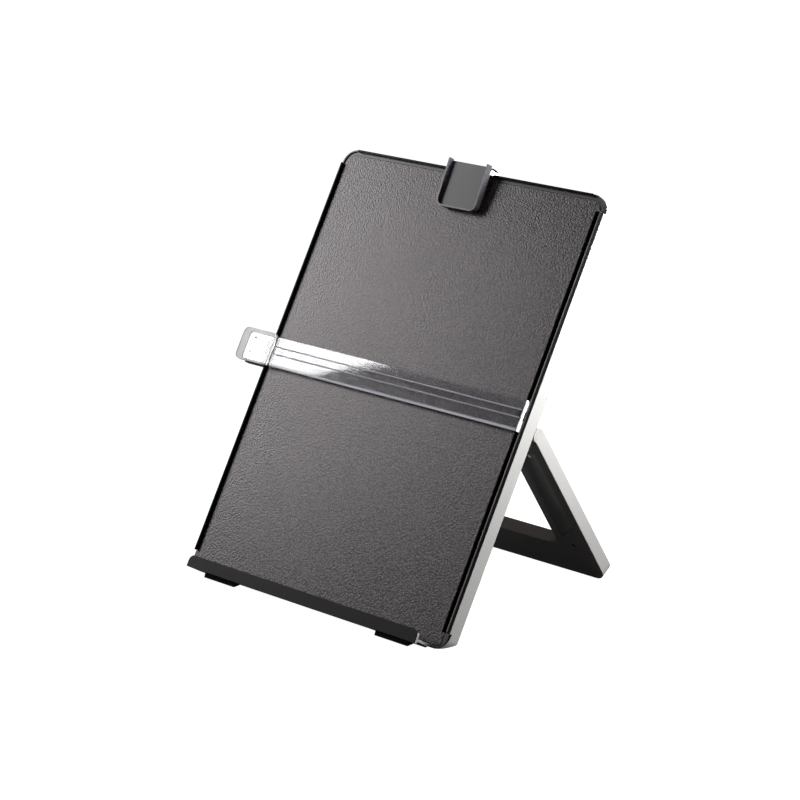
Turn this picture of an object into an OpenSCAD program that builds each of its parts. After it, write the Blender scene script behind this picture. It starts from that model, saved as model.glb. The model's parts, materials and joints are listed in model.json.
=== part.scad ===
// Desk copy holder with a sliding line guide, a spring clip and a folding stand.
// Millimetres, +Z up. The origin lies on the desk, in the middle of the board's flat bottom face,
// with +X to the reader's right and +Y away from the reader.
// Pieces of the board are drawn in the board's own frame: x across, y into the board, z up along it,
// with y = 0 at the rim around the panel. Pieces of the stand are drawn hanging down from its hinge axis.

/* [Board] */
// Width across the edges
board_w = 225; // [200:1:260]
// Height along the slope
board_h = 305; // [270:1:340]
// Depth from the rim to the back face
board_t = 11.3; // [11:0.1:15]
// Lean away from the reader, from upright
recline = 31.3; // [20:0.1:40]
// Radius of the two top corners
corner_r = 10.5; // [7:0.5:16]
// Radius of the two bottom corners
foot_corner_r = 8.5; // [6:0.5:12]

/* [Back shell] */
// Thickness of the side walls
wall_t = 1.2; // [1:0.1:2]
// Thickness of the back and of the bottom wall
back_t = 2; // [1.8:0.1:2.6]
// Half width of the hump behind the clip
hump_half_w = 13; // [10:0.5:15]
// Height of the hump's black saddle above the board's top edge
hump_h = 5.4; // [4:0.1:8]
// Rounding of the lower back edge, just above the desk
heel_r = 2.6; // [1.6:0.1:2.8]

/* [Front tray and panel] */
// Thickness of the tray's rim flange
flange_t = 0.5; // [0.4:0.1:0.8]
// Thickness of the tray's plate
plate_t = 1.7; // [1.4:0.1:2]
// Depth of the tray's corners, seen from outside
corner_t = 2.8; // [2.2:0.1:4]
// Rim left free beside the panel
rim_side = 2.3; // [2:0.1:4]
// Rim left free above the panel
rim_top = 3.6; // [3:0.1:6]
// Rim left free beside the panel's bottom corners
rim_foot = 3.5; // [3:0.1:6]
// How far the panel stands proud of the rim
panel_proud = 0.3; // [0.1:0.1:0.6]

/* [Rails] */
// Height of the raised lips above the rim
lip_h = 2.5; // [1.5:0.1:3]
// Thickness of the lips
lip_t = 1.3; // [1:0.1:1.8]
// Height at which the rails begin
rail_z0 = 11.7; // [10.5:0.1:20]
// Length left free above the rails
rail_top_gap = 10.7; // [10.5:0.1:20]
// Width of the slide groove beside the panel
groove_w = 4.7; // [4.4:0.1:6]
// Depth of the slide groove below the rim
groove_d = 3.8; // [3.6:0.1:4.4]
// Half length that the top rails reach from the middle
top_rail_reach = 101.4; // [60:0.1:101.9]
// Half width of the gap between the top rails
top_rail_gap = 19; // [18:0.5:26]

/* [Page ledge] */
// Half length of the ledge
ledge_half_w = 101; // [80:1:104]
// How far the lip stands in front of the rim
ledge_depth = 16; // [12:0.5:24]
// Height of the lip above the ledge's floor line
ledge_lip_h = 7; // [5:0.5:12]
// Thickness of the bracket's sheet
ledge_t = 1.6; // [1.2:0.1:1.8]
// Thickness of the black cover
cover_t = 1.2; // [0.8:0.1:1.6]
// Radius of the lip's top corners
ledge_corner_r = 4; // [2:0.5:6]
// Length of each front foot
foot_l = 28; // [20:0.5:40]
// Distance of each front foot from the ledge's end
foot_end_gap = 10.5; // [2:0.5:20]
// How far the front feet stand in front of the rim
foot_reach = 7.2; // [5:0.1:9]

/* [Clip] */
// Half width of the clip
clip_half_w = 16.9; // [15:0.1:18]
// Height of the clip's lower edge below the board's top edge
clip_drop = 28; // [24:0.5:36]
// How far the clip reaches above the board's top edge
clip_over = 4.6; // [2:0.1:8]
// Stand-off of the clip's rim at its lower edge
clip_front_low = 6; // [5.5:0.1:8]
// Stand-off of the clip's rim at its top
clip_front_top = 9; // [8.4:0.1:12]
// Stand-off of the clip's face at its lower edge
clip_face_low = 3.7; // [3.6:0.1:4.4]
// Stand-off of the clip's face at its top
clip_face_top = 5.8; // [5.7:0.1:7]
// Thickness of the clip's wall
clip_wall = 1; // [0.8:0.1:1.1]
// Radius of the clip's lower corners
clip_r = 5; // [3:0.5:8]
// Distance of the pivot below the board's top edge
clip_pivot_drop = 9; // [8:0.5:12]
// Radius of the pivot pin
clip_pin_r = 0.8; // [0.6:0.1:0.9]

/* [Line guide] */
// Height of the guide's lower edge on the board
guide_z = 144.5; // [30:0.5:240]
// Height of the clear band
guide_h = 20.7; // [16:0.1:26]
// Thickness of the band
guide_t = 1.6; // [1.2:0.1:2]
// Gap between the lips and the band's back
guide_gap = 1.1; // [0.5:0.1:2]
// Length of the grip tab beyond the board's edge
tab_l = 25.3; // [20:0.1:36]
// Width of the tab's thick rim above and below
tab_rim = 2.8; // [2:0.1:4]
// Width of the tab's thick rim at its free end
tab_end_rim = 6.3; // [3:0.1:7]
// Clearance of the sliding pieces in their grooves
slide_gap = 0.2; // [0.15:0.05:0.4]

/* [Stand] */
// Height of the hinge axis on the board
hinge_z = 148.6; // [120:0.5:170]
// Opening angle between board and stand
open_angle = 65; // [50:1:72]
// Thickness of the stand
leg_t = 9.4; // [8.4:0.1:11]
// Width of each side bar
stile_w = 27.8; // [24:0.1:29]
// Height of the bottom bar
foot_rail_h = 27.7; // [20:0.1:34]
// Height of the top bar below the hinge axis
head_rail_h = 14; // [12:0.5:24]
// Thickness of the stand's walls
leg_wall = 1.8; // [1.4:0.1:2.2]
// Radius of the stand's bottom corners
leg_corner_r = 8.4; // [6:0.1:12]
// Gap between board and stand when it is folded
fold_gap = 0.3; // [0.2:0.05:0.6]
// Distance of each hinge from the middle
hinge_x = 70; // [50:1:74]
// Length of the knuckle between a hinge block's ears
knuckle_l = 18.2; // [14:0.2:22]
// Radius of the hinge pins
pin_r = 1.75; // [1.5:0.05:2]

/* [Fasteners] */
// Radius of the screws' shanks
screw_r = 1.3; // [1.1:0.05:1.5]
// Radius of the screws' heads
head_r = 2.7; // [2.4:0.1:3]

/* [Hidden] */
$fn = 48;

fit_gap = 0.15;       // between fixed pieces that slip together
run_gap = 0.05;       // radial, between a pin and its hole
far = 400;            // reaches past the whole object
silver = [0.80, 0.80, 0.79];
dark = [0.27, 0.25, 0.26];
black = [0.05, 0.05, 0.055];
steel = [0.62, 0.62, 0.63];
clear = [0.85, 0.88, 0.90, 0.45];

half_w = board_w / 2;
foot_mid = board_t / cos(recline) / 2;   // from the rim's foot to the middle of the bottom face
inner_half_w = half_w - wall_t - fit_gap;
rail_z1 = board_h - rail_top_gap;
plate_y = flange_t + plate_t;            // back of the tray's plate
pocket_y = flange_t;                     // the panel's back
panel_half_w = half_w - rim_side;
panel_z0 = 2.3;
panel_z1 = board_h - rim_top;
panel_r = corner_r - rim_side;
panel_foot_r = 1.2;
top_wall = 2.2;                          // top wall of the shell, seat of the top rails' caps
groove_x1 = half_w - lip_t;              // inner face of the right lip
groove_x0 = groove_x1 - groove_w;
channel_t = 1;                           // wall of the right rail's channel
channel_x1 = inner_half_w;               // outer face of the channel inside the shell

// Screw posts between tray and shell
post_r = 3.2;
post_tip = 1.5;                          // from the tray's plate to the screws' tips
post_in = 20;                            // from the board's sides to the posts
post_x = half_w - post_in;
post_low = 32;
post_mid = 186;
post_drop = 24;
post_zs = [post_low, post_mid, board_h - post_drop];
boss_y = board_t - 3;
boss_r = 4.4;

// Board and desk: the desk is where z = y * tan(recline)
module on_board() {
    translate([0, -foot_mid, 0]) rotate([-recline, 0, 0]) children();
}

// What lies above the desk by h, in the board's frame
module above_desk(h = 0) {
    rotate([recline, 0, 0]) translate([-far, -far, h]) cube([2 * far, 2 * far, 2 * far]);
}

// What the rounding of the board's lower back edge takes away
heel_in = heel_r - 0.05;                 // the rounding's axis lies this far inside back and desk
module heel() {
    y = board_t - heel_in;
    bar(-far, far) translate([y, (heel_in + y * sin(recline)) / cos(recline)]) difference() {
        polygon(3 * heel_r * [[0, 0], [1, 0], [1, -1], [sin(recline), -cos(recline)]]);
        circle(heel_r);
    }
}

// A plate in the board's frame from depth y0 to y1, from a 2-D outline in x and z
module plate(y0, y1) {
    translate([0, y1, 0]) rotate([90, 0, 0]) linear_extrude(y1 - y0) children();
}

// A bar along x from x0 to x1, from a 2-D outline in y and z
module bar(x0, x1) {
    translate([x0, 0, 0]) rotate([90, 0, 90]) linear_extrude(x1 - x0) children();
}

// A box between two corners
module block(a, b) {
    translate(a) cube(b - a);
}

// A rod along x
module rod_x(x0, x1, y, z, r) {
    translate([x0, y, z]) rotate([0, 90, 0]) cylinder(r = r, h = x1 - x0);
}

// A rod along y
module rod_y(x, z, y0, y1, r) {
    translate([x, y0, z]) rotate([-90, 0, 0]) cylinder(r = r, h = y1 - y0);
}

// A rectangle with its own radius at the top and at the bottom corners
module round_rect(x0, x1, z0, z1, top_r, low_r) {
    r_top = min(top_r, (z1 - z0) / 2);
    r_low = min(low_r, (z1 - z0) / 2);
    translate([x0 + r_low, z0]) square([x1 - x0 - 2 * r_low, z1 - z0 - r_top]);
    translate([x0, z0 + r_low]) square([x1 - x0, z1 - z0 - r_top - r_low]);
    translate([x0 + r_top, z0 + r_low]) square([x1 - x0 - 2 * r_top, z1 - z0 - r_low]);
    for (x = [x0 + r_top, x1 - r_top]) translate([x, z1 - r_top]) circle(r_top);
    for (x = [x0 + r_low, x1 - r_low]) translate([x, z0 + r_low]) circle(r_low);
}

// The board's outline, drawn in by an inset
module board_outline(inset = 0) {
    round_rect(-half_w + inset, half_w - inset, inset, board_h - inset, corner_r - inset,
        foot_corner_r - inset);
}

// Directions along a list of points, and beside it
function unit(v) = v / norm(v);
function way(pts, i) = unit(pts[min(i + 1, len(pts) - 1)] - pts[max(i - 1, 0)]);
function side(d) = unit(cross(d, abs(d[0]) > 0.95 ? [0, 1, 0] : [1, 0, 0]));

// A round wire of radius r along a list of points
module wire(pts, r, sides = 8) {
    rings = [for (i = [0 : len(pts) - 1]) let (d = way(pts, i), u = side(d), w = cross(d, u))
        for (k = [0 : sides - 1]) pts[i] + r * (cos(360 * k / sides) * u + sin(360 * k / sides) * w)];
    n = len(pts);
    faces = concat(
        [[for (k = [0 : sides - 1]) sides - 1 - k]],
        [[for (k = [0 : sides - 1]) (n - 1) * sides + k]],
        [for (i = [0 : n - 2]) for (k = [0 : sides - 1])
            let (a = i * sides + k, b = i * sides + (k + 1) % sides) [a, b, b + sides, a + sides]]
    );
    polyhedron(rings, [for (f = faces) [for (j = [len(f) - 1 : -1 : 0]) f[j]]], convexity = 4);
}

// ---- board ----

// What the shell's walls enclose, drawn in by a gap
module cavity_outline(gap = 0) {
    intersection() {
        board_outline(wall_t + gap);
        translate([-far, -far]) square([2 * far, far + board_h - top_wall - gap]);
    }
}

// Slots that the rails leave in the tray
module rail_slots() {
    block([-far, -1, rail_z0 - fit_gap], [-half_w + lip_t + fit_gap, far, rail_z1 + fit_gap]);
    block([-far, pocket_y, rail_z0 - fit_gap], [-half_w + left_rail_w + fit_gap, far, rail_z1 + fit_gap]);
    block([groove_x0 - channel_t - fit_gap, -1, rail_z0 - fit_gap], [far, far, rail_z1 + fit_gap]);
    for (s = [-1, 1]) scale([s, 1, 1]) {
        block([top_rail_gap - fit_gap, -1, board_h - lip_t - fit_gap],
            [top_rail_reach + fit_gap, pocket_y + fit_gap, board_h + 1]);
        block([-1, -1, panel_z1 - fit_gap], [hump_half_w + fit_gap, pocket_y + fit_gap, board_h + 1]);
    }
}

// The four corners, where no rail covers the tray's edge. The lower ones thin out towards the desk.
corner_low_z = 1.5;
module corner_zones(gap = 0) {
    y1 = corner_t + fit_gap - gap;
    for (s = [-1, 1]) scale([s, 1, 1]) {
        block([top_rail_reach + fit_gap + gap, -1, rail_z1 + gap], [far, y1, far]);
        bar(ledge_half_w + fit_gap + gap, far) polygon([
            [-1, -far], [flange_t, -far], [flange_t + fit_gap - gap, corner_low_z], [y1, rail_z0 - gap],
            [-1, rail_z0 - gap]
        ]);
    }
}

// Low raised edge round the two top corners
corner_lip_h = 0.9;
corner_lip_t = 1;
module corner_lips() {
    intersection() {
        plate(-corner_lip_h, flange_t) difference() {
            board_outline();
            board_outline(corner_lip_t);
        }
        for (s = [-1, 1]) scale([s, 1, 1])
            block([top_rail_reach + 2 * fit_gap, -far, rail_z1 + 2 * fit_gap], [far, far, far]);
    }
}

module panel_outline(gap = 0) {
    difference() {
        round_rect(-panel_half_w - gap, panel_half_w + gap, panel_z0 - gap, panel_z1 + gap, panel_r + gap,
            panel_foot_r + gap);
        translate([groove_x0 + gap, rail_z0 - fit_gap])
            square([far, rail_z1 - rail_z0 + 2 * fit_gap]);
        for (s = [-1, 1]) scale([s, 1]) translate([half_w - rim_foot + gap, -far])
            square([far, far + rail_z0 - fit_gap - gap]);
    }
}

module front_tray() {
    color(dark) on_board() difference() {
        union() {
            intersection() {
                plate(0, flange_t) board_outline();
                above_desk();
            }
            intersection() {
                plate(flange_t, plate_y) cavity_outline(fit_gap);
                above_desk(back_t + fit_gap);
            }
            intersection() {
                plate(0, corner_t) board_outline();
                above_desk();
                corner_zones(fit_gap);
            }
            corner_lips();
            for (x = [-post_x, post_x]) for (z = post_zs) rod_y(x, z, plate_y, boss_y - fit_gap, post_r);
        }
        plate(-1, pocket_y) panel_outline(fit_gap / 3);
        rail_slots();
        // room for the ledge bracket at the foot
        block([-ledge_half_w - fit_gap, -1, -1], [ledge_half_w + fit_gap, far, ledge_top_z]);
        for (x = [-post_x, post_x]) for (z = post_zs) rod_y(x, z, plate_y + post_tip / 2, boss_y, screw_r);
        for (x = ledge_screw_xs) rod_y(x, ledge_screw_z, pocket_y + ledge_tip / 2, plate_y + 1, screw_r);
        for (x = clip_screw_xs) rod_y(x, clip_screw_z, pocket_y - 1, plate_y + 1, screw_r);
    }
}

module face_panel() {
    color(dark) on_board() difference() {
        plate(-panel_proud, pocket_y) panel_outline();
        // opening for the clip's bracket
        block([-bracket_half_w - fit_gap, -1, bracket_z0 - fit_gap], [bracket_half_w + fit_gap, 1, board_h]);
    }
}

// Left rail: lip above, side groove for the guide's hook below
left_rail_w = 5;
left_rail_y = 6.5;
left_groove_y0 = 2.4;
left_groove_y1 = 4.8;
left_groove_d = 3.4;
module rail_left() {
    color(black) on_board() difference() {
        union() {
            block([-half_w, -lip_h, rail_z0], [-half_w + lip_t, pocket_y + fit_gap, rail_z1]);
            block([-half_w, pocket_y + fit_gap, rail_z0], [-half_w + left_rail_w, left_rail_y, rail_z1]);
        }
        block([-half_w - 1, left_groove_y0, rail_z0 - 1],
            [-half_w + left_groove_d, left_groove_y1, rail_z1 + 1]);
    }
}

// Right rail: a channel in the face with the lip on its outer wall
module rail_right() {
    color(black) on_board() difference() {
        union() {
            block([groove_x1, -lip_h, rail_z0], [half_w, flange_t, rail_z1]);
            block([groove_x0 - channel_t, flange_t, rail_z0], [channel_x1, groove_d + channel_t, rail_z1]);
            block([groove_x0, 0, rail_z0], [groove_x1 + 0.1, flange_t, rail_z1]);
        }
        block([groove_x0, -1, rail_z0 - 1], [groove_x1, flange_t + 0.1, rail_z1 + 1]);
        block([groove_x0, 0, rail_z0 - 1], [channel_x1 - channel_t, groove_d, rail_z1 + 1]);
    }
}

// Top rail: lip in front, thin cap over the shell's top wall
cap_t = 0.9;
cap_over = 2.4;                          // the cap reaches past the lip, into the corner
module top_cap(gap = 0) {
    intersection() {
        block([top_rail_gap - gap, pocket_y, board_h - cap_t - gap],
            [top_rail_reach + cap_over + gap, board_t + gap, board_h + gap]);
        plate(0, far) board_outline(-gap);
    }
}

module top_rail() {
    on_board() {
        block([top_rail_gap, -lip_h, board_h - lip_t], [top_rail_reach, pocket_y, board_h]);
        difference() {
            top_cap();
            block([top_rail_reach, 0, 0], [far, corner_t + fit_gap, far]);
        }
    }
}

module rail_top_left() {
    color(black) mirror([1, 0, 0]) top_rail();
}

module rail_top_right() {
    color(black) top_rail();
}

// Hump that backs the clip: rounded on top, level with the shell's back, under the bracket's saddle
hump_r = 2.2;
saddle_t = 1;
hump_root = 6;                           // how far the hump's hollow reaches below the board's top edge
module hump(inset = 0) {
    bar(-hump_half_w + inset, hump_half_w - inset) round_rect(flange_t + inset, board_t - inset,
        board_h - hump_root, board_h + hump_h - saddle_t - fit_gap - inset, hump_r - inset, 0.1);
}

module back_shell() {
    color(silver) on_board() difference() {
        union() {
            difference() {
                union() {
                    intersection() {
                        plate(flange_t, board_t) board_outline();
                        above_desk();
                    }
                    hump();
                }
                intersection() {
                    plate(flange_t - 1, board_t - back_t) cavity_outline();
                    above_desk(back_t);
                }
                // the hump is hollow
                hump(wall_t);
            }
            for (x = [-post_x, post_x]) for (z = post_zs) rod_y(x, z, boss_y, board_t - back_t / 2, boss_r);
            for (s = [-1, 1]) block([s * hinge_x - block_half_w - 1, pad_y, hinge_z - block_half_h - 1],
                [s * hinge_x + block_half_w + 1, board_t - back_t + 0.1, hinge_z + block_half_h + 1]);
        }
        for (x = [-post_x, post_x]) for (z = post_zs) {
            rod_y(x, z, boss_y - 1, board_t + 1, screw_r + fit_gap);
            rod_y(x, z, board_t - head_recess, board_t + 1, head_r + fit_gap);
        }
        // seats of the hinge blocks and their screws
        for (s = [-1, 1]) {
            block([s * hinge_x - block_half_w - fit_gap, block_y, hinge_z - block_half_h - fit_gap],
                [s * hinge_x + block_half_w + fit_gap, board_t + 1, hinge_z + block_half_h + fit_gap]);
            for (z = block_screw_zs) rod_y(s * hinge_x, z, pad_y - 1, board_t, screw_r + fit_gap / 2);
        }
        heel();
        // side opening for the left rail
        block([-half_w - 1, 0, rail_z0 - fit_gap],
            [-half_w + left_rail_w + fit_gap, left_rail_y + fit_gap, rail_z1 + fit_gap]);
        corner_zones();
        for (s = [-1, 1]) scale([s, 1, 1]) top_cap(fit_gap / 3);
        // room for the ledge bracket
        block([-ledge_half_w - fit_gap, -1, -1],
            [ledge_half_w + fit_gap, ledge_back_y + fit_gap, ledge_tongue_z / 2]);
    }
}

// One screw along y, its head at the back
module screw(x, z, y_tip, y_seat, head_h) {
    rod_y(x, z, y_tip, y_seat, screw_r);
    difference() {
        rod_y(x, z, y_seat, y_seat + head_h, head_r);
        // cross recess
        for (a = [0, 90]) translate([x, y_seat + head_h - 0.5, z]) rotate([0, a, 0])
            block([-1.4, 0, -0.3], [1.4, 1, 0.3]);
    }
}

head_recess = 1.8;
head_h = 1.5;
module shell_screws() {
    color(steel) on_board() for (x = [-post_x, post_x]) for (z = post_zs)
        screw(x, z, plate_y + post_tip, board_t - head_recess, head_h);
}

// ---- page ledge ----

// Bracket: floor in front of the board, tongue that turns up behind the tray
cover_end = 1;                           // the bracket's ends stay bare by this much
ledge_back_y = plate_y + fit_gap + ledge_t;
ledge_tongue_z = 15;
ledge_top_z = 3.4;
ledge_screw_z = 10.5;
ledge_screw_xs = [-0.7 * ledge_half_w, 0, 0.7 * ledge_half_w];
ledge_tip = 0.5;                         // from the panel's back to the screws' tips
ledge_head_h = 1.4;
lip_core_y = -ledge_depth + cover_t;     // front of the bracket's upturned edge
function desk_z(y) = y * tan(recline);

module ledge_bracket() {
    color(silver) on_board() difference() {
        union() {
            bar(-ledge_half_w, ledge_half_w) polygon([
                [lip_core_y, 0], [0, 0], [ledge_back_y, desk_z(ledge_back_y)], [ledge_back_y, ledge_tongue_z],
                [plate_y + fit_gap, ledge_tongue_z], [plate_y + fit_gap, ledge_top_z], [0, ledge_t],
                [lip_core_y, ledge_t]
            ]);
            plate(lip_core_y, lip_core_y + ledge_t) round_rect(-ledge_half_w, ledge_half_w,
                0, ledge_lip_h - cover_t, ledge_corner_r - cover_t, 0.1);
            // the two ends stand as high as the cover
            plate(lip_core_y, lip_core_y + ledge_t) intersection() {
                round_rect(-ledge_half_w, ledge_half_w, -cover_t, ledge_lip_h, ledge_corner_r, 0.1);
                for (s = [-1, 1]) scale([s, 1])
                    translate([ledge_half_w - cover_end + fit_gap, -far]) square(2 * far);
            }
        }
        for (x = ledge_screw_xs) rod_y(x, ledge_screw_z, plate_y, ledge_back_y + 1, screw_r + fit_gap);
    }
}

// Cover: front, top edge and underside of the ledge
module ledge_cover() {
    w = ledge_half_w - cover_end;
    color(black) on_board() difference() {
        union() {
            plate(-ledge_depth, lip_core_y)
                round_rect(-ledge_half_w, ledge_half_w, -cover_t, ledge_lip_h, ledge_corner_r, 0.1);
            plate(-ledge_depth, lip_core_y + ledge_t + 0.1)
                round_rect(-w, w, ledge_lip_h - ledge_corner_r - 1, ledge_lip_h, ledge_corner_r, 0.1);
            bar(-w, w) polygon([
                [-ledge_depth, -cover_t], [-cover_t / tan(recline), -cover_t], [0, 0], [-ledge_depth, 0]
            ]);
        }
        // seat of the bracket's upturned edge
        plate(lip_core_y, 0) round_rect(-ledge_half_w - 1, ledge_half_w + 1, 0, ledge_lip_h - cover_t,
            ledge_corner_r - cover_t, 0.1);
    }
}

module ledge_screws() {
    color(steel) on_board() for (x = ledge_screw_xs)
        screw(x, ledge_screw_z, pocket_y + ledge_tip, ledge_back_y, ledge_head_h);
}

// Front feet: rubber wedges between the ledge's underside and the desk
foot_rake = 0.6;                         // the foot's front leans out by this much at the ledge
foot_tip = 0.5;                          // thickness left at its thin end
module front_foot() {
    foot_x1 = ledge_half_w - foot_end_gap;
    y1 = -cover_t / tan(recline) - foot_tip;
    on_board() bar(foot_x1 - foot_l, foot_x1) polygon([
        [-foot_reach - foot_rake, -cover_t], [-foot_reach, desk_z(-foot_reach)], [y1, desk_z(y1)],
        [y1, -cover_t]
    ]);
}

module front_foot_left() {
    color(black) mirror([1, 0, 0]) front_foot();
}

module front_foot_right() {
    color(black) front_foot();
}

// ---- clip ----

clip_z0 = board_h - clip_drop;
clip_z1 = board_h + clip_over;
clip_lean = atan((clip_front_top - clip_front_low) / (clip_z1 - clip_z0));
clip_h = (clip_z1 - clip_z0) / cos(clip_lean);
clip_depth = 12;                         // the sides reach no deeper than this
pivot_z = board_h - clip_pivot_drop;
pivot_y = -2.25;
bracket_half_w = 10;
bracket_z0 = pivot_z - 9;
saddle_z0 = panel_z1 + fit_gap;
bracket_z1 = saddle_z0 + 0.1;
bracket_y = -0.5;
bracket_ear_x = 6.6;
bracket_ear_t = 1.8;
clip_ear_x = bracket_ear_x + bracket_ear_t + 0.4;
clip_ear_t = 1.6;
pin_over = 0.6;                          // the pin's ends stand out by this much
ear_r = 1.6;
clip_screw_z = pivot_z - 5.6;
clip_screw_xs = [-4, 4];
clip_head_h = 0.8;
clip_head_r = 2.2;
pad_t = 1.6;
pad_y1 = -panel_proud - 0.1;             // the pad's face lies on the panel
pad_y0 = pad_y1 - pad_t;
thumb_y = -4.9;                          // back edge of the sides at the thumb end

// The back of the lever's face plate at height z
function lever_back(z) = clip_wall - clip_face_low
    - (clip_face_top - clip_face_low) * (z - clip_z0) / (clip_z1 - clip_z0);

// Clip frame: x across, y into the board, z up along the clip, origin at the front of its lower edge
module on_clip() {
    on_board() translate([0, -clip_front_low, clip_z0]) rotate([clip_lean, 0, 0]) children();
}

// Saddle: the bracket's upper part, which lies on the hump's front and top
module saddle() {
    bar(-hump_half_w, hump_half_w) difference() {
        round_rect(bracket_y, board_t - hump_r, saddle_z0, board_h + hump_h, hump_r + saddle_t, 0.1);
        translate([pocket_y, 0]) square([far, board_h + fit_gap]);
        round_rect(pocket_y, board_t, board_h - hump_root, board_h + hump_h - saddle_t, hump_r + fit_gap, 0.1);
        // the outer rounding at the back stays off: the saddle ends square on the hump
        translate([board_t - hump_r - 0.1, 0]) square([far, far]);
    }
}

module clip_bracket() {
    color(black) on_board() difference() {
        union() {
            block([-bracket_half_w, bracket_y, bracket_z0], [bracket_half_w, pocket_y, bracket_z1]);
            saddle();
            for (s = [-1, 1]) scale([s, 1, 1]) bar(bracket_ear_x, bracket_ear_x + bracket_ear_t) {
                translate([pivot_y, pivot_z]) circle(ear_r);
                translate([pivot_y, pivot_z - ear_r]) square([bracket_y - pivot_y + 0.1, 2 * ear_r]);
            }
        }
        rod_x(-far, far, pivot_y, pivot_z, clip_pin_r + run_gap);
        for (x = clip_screw_xs) rod_y(x, clip_screw_z, bracket_y - 1, 1, screw_r + fit_gap);
    }
}

module clip_bracket_screws() {
    color(steel) on_board() for (x = clip_screw_xs) {
        rod_y(x, clip_screw_z, bracket_y, plate_y, screw_r);
        rod_y(x, clip_screw_z, bracket_y - clip_head_h, bracket_y, clip_head_r);
    }
}

module clip_pin() {
    half_l = clip_ear_x + clip_ear_t + pin_over;
    color(steel) on_board() rod_x(-half_l, half_l, pivot_y, pivot_z, clip_pin_r);
}

// Torsion spring: coils round the pin, two legs up to the thumb end
spring_wire_r = 0.25;
spring_r = clip_pin_r + spring_wire_r + 0.1;
spring_turns = 5;
spring_half_l = 4.5;
module clip_spring() {
    steps = 14;
    coil = [for (i = [0 : spring_turns * steps]) let (a = 360 * i / steps, t = i / (spring_turns * steps))
        [-spring_half_l + 2 * spring_half_l * t, pivot_y + spring_r * cos(a), pivot_z + spring_r * sin(a)]];
    leg_low = [
        [-spring_half_l - 0.3, bracket_y - spring_wire_r - 0.1, pivot_z + 5],
        [-spring_half_l - 0.1, pivot_y + spring_r, pivot_z + 2.5]
    ];
    leg_top = [
        [spring_half_l + 0.1, pivot_y + spring_r * 0.2, pivot_z + 2.5],
        [spring_half_l + 0.3, lever_back(pivot_z + 6) + spring_wire_r + 0.1, pivot_z + 6]
    ];
    color(steel) on_board() wire(concat(leg_low, coil, leg_top), spring_wire_r);
}

// Lever: a shallow pan with a raised rim, ears on the pin and a jaw at its lower end
clip_rim = 1.1;
horn_h = 1.2;
jaw_t = 2.4;                             // thickness of the jaw along the clip
module clip_lever() {
    color(dark) difference() {
        union() {
            difference() {
                clip_pan();
                // the sides stop short of the panel, and rise towards the thumb end
                on_board() bar(-far, far) polygon([
                    [pad_y0, clip_z0 - 2], [pad_y0, pivot_z - 2], [thumb_y, clip_z1 + 2], [far, clip_z1 + 2],
                    [far, clip_z0 - 2]
                ]);
            }
            on_board() for (s = [-1, 1]) scale([s, 1, 1]) bar(clip_ear_x, clip_ear_x + clip_ear_t) {
                translate([pivot_y, pivot_z]) circle(ear_r);
                translate([lever_back(pivot_z) - 0.3, pivot_z - ear_r])
                    square([pivot_y - lever_back(pivot_z) + 0.3, 2 * ear_r]);
            }
        }
        on_board() rod_x(-far, far, pivot_y, pivot_z, clip_pin_r + run_gap);
    }
}

// What lies in front of the lever's face plate, or behind its back when moved by the wall's thickness
module face_side(y_far, y_shift) {
    on_board() bar(-far, far) polygon([
        [y_far, clip_z0 - 9], [lever_back(clip_z0 - 9) - y_shift, clip_z0 - 9],
        [lever_back(clip_z1 + 9) - y_shift, clip_z1 + 9], [y_far, clip_z1 + 9]
    ]);
}

// Face plate with a raised rim on three sides, and side walls behind it
module clip_pan() {
    inner_w = clip_half_w - clip_rim;
    hollow_w = clip_half_w - clip_wall;
    difference() {
        on_clip() plate(0, clip_depth) round_rect(-clip_half_w, clip_half_w, 0, clip_h, 0.1, clip_r);
        intersection() {
            on_clip() plate(-1, clip_depth)
                round_rect(-inner_w, inner_w, clip_rim, clip_h + far, 0.1, clip_r - clip_rim);
            face_side(-far, clip_wall);
        }
        // the rim's horns stand a little above the face's top edge
        on_clip() plate(-1, far) translate([-inner_w, clip_h - horn_h]) square([2 * inner_w, far]);
        intersection() {
            on_clip() plate(0, far) round_rect(-hollow_w, hollow_w, jaw_t, clip_h + far, 0.1, clip_r - clip_wall);
            face_side(far, 0);
        }
    }
}

module clip_pad() {
    color(black) on_board() block([-clip_half_w + clip_r + 1, pad_y0, clip_z0 + 0.6],
        [clip_half_w - clip_r - 1, pad_y1, clip_z0 + jaw_t - 0.2]);
}

// ---- line guide ----

guide_back_y = -lip_h - guide_gap;
guide_front_y = guide_back_y - guide_t;
guide_z1 = guide_z + guide_h;
guide_end_x = groove_x1 - 2 * fit_gap;
end_wall_t = 1.6;
bead_r = 1.1;
ridge_h = 0.5;
ridge_drops = [6.8, 11.9];
tab_x0 = -half_w - tab_l;
tab_x1 = -half_w + 5.5;                  // the band steps down here, inside the left lip
tab_z0 = guide_z - 0.3;
tab_z1 = guide_z1 + 2;
tab_r = 4.2;
tab_front_y = guide_front_y - 1;
step_t = 1.4;
step_h = 0.7;                            // the step stands out in front and behind
end_wall_y = -panel_proud - 0.5;         // where the end wall stops short of the panel
low_cut = 0.9;                           // cut corners of the end wall
top_cut = 1.2;

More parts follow.
